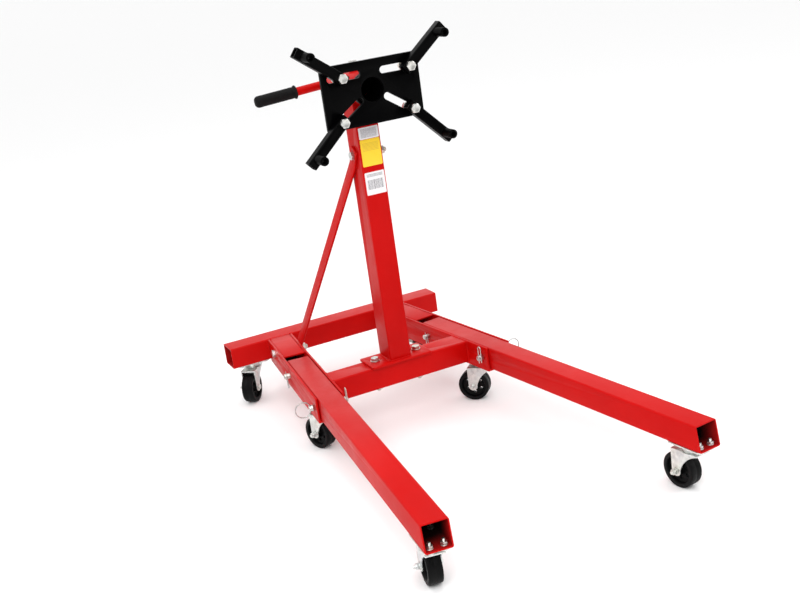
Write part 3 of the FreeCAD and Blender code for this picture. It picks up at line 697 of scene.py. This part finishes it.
def labels():
    """Three films with rounded corners on the front of the post."""
    bm = bmesh.new()
    uv = bm.loops.layers.uv.new("film")
    for index, (low, high) in enumerate(((0.760, 0.789), (0.692, 0.759), (0.620, 0.677))):
        wide, corner = 0.0265, 0.0025
        outline = []
        for cx, cz, start in ((wide - corner, high - corner, 0), (corner - wide, high - corner, 90),
                              (corner - wide, low + corner, 180), (wide - corner, low + corner, 270)):
            for i in range(5):
                a = math.radians(start + 22.5 * i)
                outline.append((cx + corner * math.cos(a), cz + corner * math.sin(a)))
        layers = []
        for y, inset in ((0.0, 0.0), (-0.00022, 0.0), (-0.0003, 0.0003)):
            mid = (low + high) / 2
            across, tall = 1 - inset / wide, 1 - inset / (high - mid)
            shrunk = [(x * across, FRONT_Y + y, mid + (z - mid) * tall) for x, z in outline]
            layers.append([bm.verts.new(corner_spot) for corner_spot in shrunk])
        n = len(outline)
        faces = []
        for a, b in zip(layers, layers[1:]):
            faces += [bm.faces.new([a[i], b[i], b[(i + 1) % n], a[(i + 1) % n]]) for i in range(n)]
        faces.append(bm.faces.new(layers[-1]))
        for face in faces:
            face.material_index = index
            for loop in face.loops:
                loop[uv].uv = ((loop.vert.co.x + wide) / (2 * wide), (loop.vert.co.z - low) / (high - low))
    bmesh.ops.recalc_face_normals(bm, faces=bm.faces)
    white, ink = (0.80, 0.79, 0.80), (0.16, 0.16, 0.20)
    films = [label_material("label_lines", white, ink, [(0.12, 0.9, "lines")]),
             label_material("label_yellow", (0.93, 0.62, 0.015), (0.62, 0.40, 0.02), [(0.55, 0.88, "lines")]),
             label_material("label_bars", white, (0.10, 0.10, 0.12),
                            [(0.24, 0.66, "bars"), (0.78, 0.93, "lines")])]
    finish_piece("post_labels_printed", bm, films, "frame", "post_labels")


labels()


# ---------------------------------------------------------------- pivot clips
def wire(bm, points, r, sides=10):
    """Round wire along a smooth line of points in metres."""
    pts = [Vector(p) for p in points]
    rows, x = [], None
    for i, p in enumerate(pts):
        ahead = (pts[min(i + 1, len(pts) - 1)] - pts[max(i - 1, 0)]).normalized()
        if x is None:
            hint = Vector((0, 1, 0)) if abs(ahead.z) > 0.7 else Vector((0, 0, 1))
            x = hint.cross(ahead).normalized()
        x = (x - ahead * x.dot(ahead)).normalized()
        y = ahead.cross(x)
        shrink = 0.55 if i in (0, len(pts) - 1) else 1.0
        rows.append([bm.verts.new(p + (x * math.cos(a) + y * math.sin(a)) * r * MM * shrink)
                     for a in (2 * math.pi * j / sides for j in range(sides))])
    for low, high in zip(rows, rows[1:]):
        for j in range(sides):
            bm.faces.new([low[j], low[(j + 1) % sides], high[(j + 1) % sides], high[j]])
    bm.faces.new(list(reversed(rows[0])))
    bm.faces.new(rows[-1])


# Centre line of a clip, mm ahead of the pin's axis and above it: straight leg, bow, sprung leg
CLIP = [(0, 14), (0, 7), (0, 0), (0, -10), (0.1, -20), (0.2, -26), (1.6, -30), (5.5, -32.3), (9.4, -30),
        (10.8, -26), (11.0, -20), (10.4, -12), (9.1, -6), (8.7, 0), (9.4, 4), (10.9, 8)]
bm = bmesh.new()
for side in (-1, 1):
    for lat in (-46, 46):
        turn, base = leg_place(side, PIVOT_T, lat, PIN_Z)
        ahead = -(turn.to_3x3() @ Vector((0, 1, 0)))
        wire(bm, [base + ahead * a * MM + Vector((0, 0, b * MM)) for a, b in CLIP], 1.25)
finish_piece("pivot_clips_wire", bm, WIRE, "frame", "pivot_clips", smooth=60)

# ---------------------------------------------------------------- welds, painted over with the frame
def socket_t(y_mm, lat):
    """Distance along the leg's axis at which a line lat mm off it lies y_mm in front of the beam's back."""
    return (y_mm + lat * math.sin(SPLAY)) / math.cos(SPLAY)


def socket_spots(side, lat, stations):
    return [leg_place(side, t, lat, 0)[1] for t in stations]


def socket_welds(bm, side):
    """Welds that hold one leg socket to the rear beam and the cross beam, and its own plates together."""
    joint = []
    for lat in (-SOCKET_LAT, SOCKET_LAT):
        spot = leg_place(side, socket_t(70.0, lat), lat, 0)[1]
        joint.append(spot)
        bead(bm, [(spot.x, spot.y, LOW + 0.003), (spot.x, spot.y, TOP - 0.001)], 2.6)
    bead(bm, [(p.x, p.y, TOP - 0.0009) for p in joint], 1.7)
    for lat in (-31.5, 31.5):
        bead(bm, [(p.x, p.y, TOP - 0.0009) for p in socket_spots(side, lat, (76, 256))], 1.3)
        bead(bm, [(p.x, p.y, LOW + 0.0008 - 0.005) for p in socket_spots(side, lat * 0.96, (442, 603))], 1.5)
    for y_mm in (446.0, 516.0):
        spot = leg_place(side, socket_t(y_mm, -SOCKET_LAT), -SOCKET_LAT, 0)[1]
        bead(bm, [(spot.x, spot.y, LOW + 0.001), (spot.x, spot.y, TOP - 0.001)], 2.4)
    ends = socket_spots(side, -SOCKET_LAT, [socket_t(y_mm, -SOCKET_LAT) for y_mm in (448.0, 514.0)])
    bead(bm, [(p.x, p.y, TOP - 0.0006) for p in ends], 1.9)
    bead(bm, [(p.x, p.y, LOW + 0.0004) for p in ends], 1.9)


bm = bmesh.new()
for side in (-1, 1):
    socket_welds(bm, side)
foot = [(-0.030, -0.0315), (-0.0265, -0.035), (0.0265, -0.035), (0.030, -0.0315),
        (0.030, 0.0315), (0.0265, 0.035), (-0.0265, 0.035), (-0.030, 0.0315)]
bead(bm, [(x, CROSS_Y + y, FOOT_TOP + 0.0004) for x, y in foot], 2.5, closed=True)
SLEEVE_R = 38.0
saddle = [(x_mm * MM, AXIS_Z - math.sqrt(SLEEVE_R ** 2 - x_mm ** 2) * MM) for x_mm in range(-30, 31, 3)]
for y in (-0.035, 0.035):
    bead(bm, [(x, CROSS_Y + y, z - 0.0003) for x, z in saddle], 2.3)
for x in (-0.030, 0.030):
    low_z = AXIS_Z - math.sqrt(SLEEVE_R ** 2 - 30.0 ** 2) * MM
    bead(bm, [(x, CROSS_Y - 0.035, low_z), (x, CROSS_Y + 0.035, low_z)], 2.3)
bead(bm, circle_points((0, CROSS_Y, AXIS_Z + 0.0362), 12.0, (1, 0, 0), (0, 1, 0)), 1.6, closed=True)
bmesh.ops.recalc_face_normals(bm, faces=bm.faces)
finish_piece("frame_welds", bm, RED, "frame", smooth=80)

bm = bmesh.new()
bead(bm, circle_points((0, YR - 0.5695, AXIS_Z), 33.4, (1, 0, 0), (0, 0, 1), steps=72), 2.6, closed=True)
bmesh.ops.recalc_face_normals(bm, faces=bm.faces)
finish_piece("head_welds", bm, BLACK, "head", smooth=80)

ARM_ANGLES = (143.0, 39.0, -45.0, -138.0)
BOSS_AT = 0.105
for i, angle in enumerate(ARM_ANGLES, 1):
    low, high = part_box("arm_bolt_%d" % i)
    bolt = (low + high) / 2
    a = math.radians(angle)
    boss = (bolt.x + BOSS_AT * math.cos(a), YR - 0.6052, bolt.z + BOSS_AT * math.sin(a))
    bm = bmesh.new()
    bead(bm, circle_points(boss, 11.2, (1, 0, 0), (0, 0, 1)), 1.4, closed=True)
    bmesh.ops.recalc_face_normals(bm, faces=bm.faces)
    finish_piece("arm_%d_weld" % i, bm, BLACK, BODY_OF["arm_%d" % i], smooth=80)


# ---------------------------------------------------------------- floor, light, camera
def stage_floor():
    """Wide pale floor."""
    bm = bmesh.new()
    bmesh.ops.create_grid(bm, x_segments=8, y_segments=8, size=300.0)
    mesh = bpy.data.meshes.new("floor")
    bm.to_mesh(mesh)
    bm.free()
    s = Shader("floor_pale")
    s.bsdf.inputs["Base Color"].default_value = (0.9, 0.9, 0.9, 1)
    s.bsdf.inputs["Roughness"].default_value = 0.9
    mesh.materials.append(s.mat)
    floor = bpy.data.objects.new("floor", mesh)
    bpy.context.scene.collection.objects.link(floor)


def area_light(name, place, target, size, power):
    """Soft box of a width and height, aimed at a point."""
    data = bpy.data.lights.new(name, "AREA")
    data.shape = "RECTANGLE"
    data.size, data.size_y = size
    data.energy = power
    light = bpy.data.objects.new(name, data)
    light.location = place
    light.rotation_mode = "QUATERNION"
    light.rotation_quaternion = (Vector(target) - Vector(place)).to_track_quat("-Z", "Y")
    bpy.context.scene.collection.objects.link(light)


def studio_world():
    """White surround, bright behind and overhead and dimmer in front, as between soft boxes."""
    world = bpy.data.worlds.new("studio")
    world.use_nodes = True
    sky = world.node_tree.nodes
    link = world.node_tree.links.new
    where = sky.new("ShaderNodeTexCoord")
    split = sky.new("ShaderNodeSeparateXYZ")
    link(where.outputs["Generated"], split.inputs[0])
    both = sky.new("ShaderNodeMath")
    both.operation = "MAXIMUM"
    for i, (axis, low, high) in enumerate((("Y", -0.35, 0.35), ("Z", 0.35, 0.9))):
        ramp = sky.new("ShaderNodeMapRange")
        ramp.interpolation_type = "SMOOTHSTEP"
        for key, value in (("From Min", low), ("From Max", high), ("To Min", 0.34), ("To Max", 1.25)):
            ramp.inputs[key].default_value = value
        link(split.outputs[axis], ramp.inputs["Value"])
        link(ramp.outputs["Result"], both.inputs[i])
    link(both.outputs[0], sky["Background"].inputs["Strength"])
    sky["Background"].inputs["Color"].default_value = (1, 1, 1, 1)
    bpy.context.scene.world = world


stage_floor()
studio_world()
area_light("key", (-1.6, -2.6, 2.8), (0, 0, 0.4), (2.2, 2.2), 75)
area_light("fill", (3.0, -2.0, 1.8), (0, 0, 0.4), (2.0, 2.0), 35)
area_light("top", (0.0, 0.4, 4.0), (0, 0, 0.2), (3.5, 3.5), 30)


def place_camera(location, azimuth, elevation, roll, lens):
    """Camera that looks back along the direction given by two angles in degrees, turned by a roll."""
    data = bpy.data.cameras.new("camera")
    data.sensor_width = 36.0
    data.lens = lens
    data.clip_start, data.clip_end = 0.05, 900
    camera = bpy.data.objects.new("camera", data)
    az, el, turn = math.radians(azimuth), math.radians(elevation), math.radians(roll)
    back = Vector((math.sin(az) * math.cos(el), -math.cos(az) * math.cos(el), math.sin(el)))
    right = (-back).cross(Vector((0, 0, 1))).normalized()
    up = right.cross(-back)
    cam_x = right * math.cos(turn) + up * math.sin(turn)
    cam_y = up * math.cos(turn) - right * math.sin(turn)
    camera.rotation_mode = "QUATERNION"
    camera.rotation_quaternion = Matrix((cam_x, cam_y, back)).transposed().to_quaternion()
    camera.location = location
    bpy.context.scene.collection.objects.link(camera)
    bpy.context.scene.camera = camera


place_camera((-1.0842, YR - 3.1041, 1.2285), -23.106, 17.606, -8.183, 51.65)
bpy.context.scene.view_settings.view_transform = "Standard"
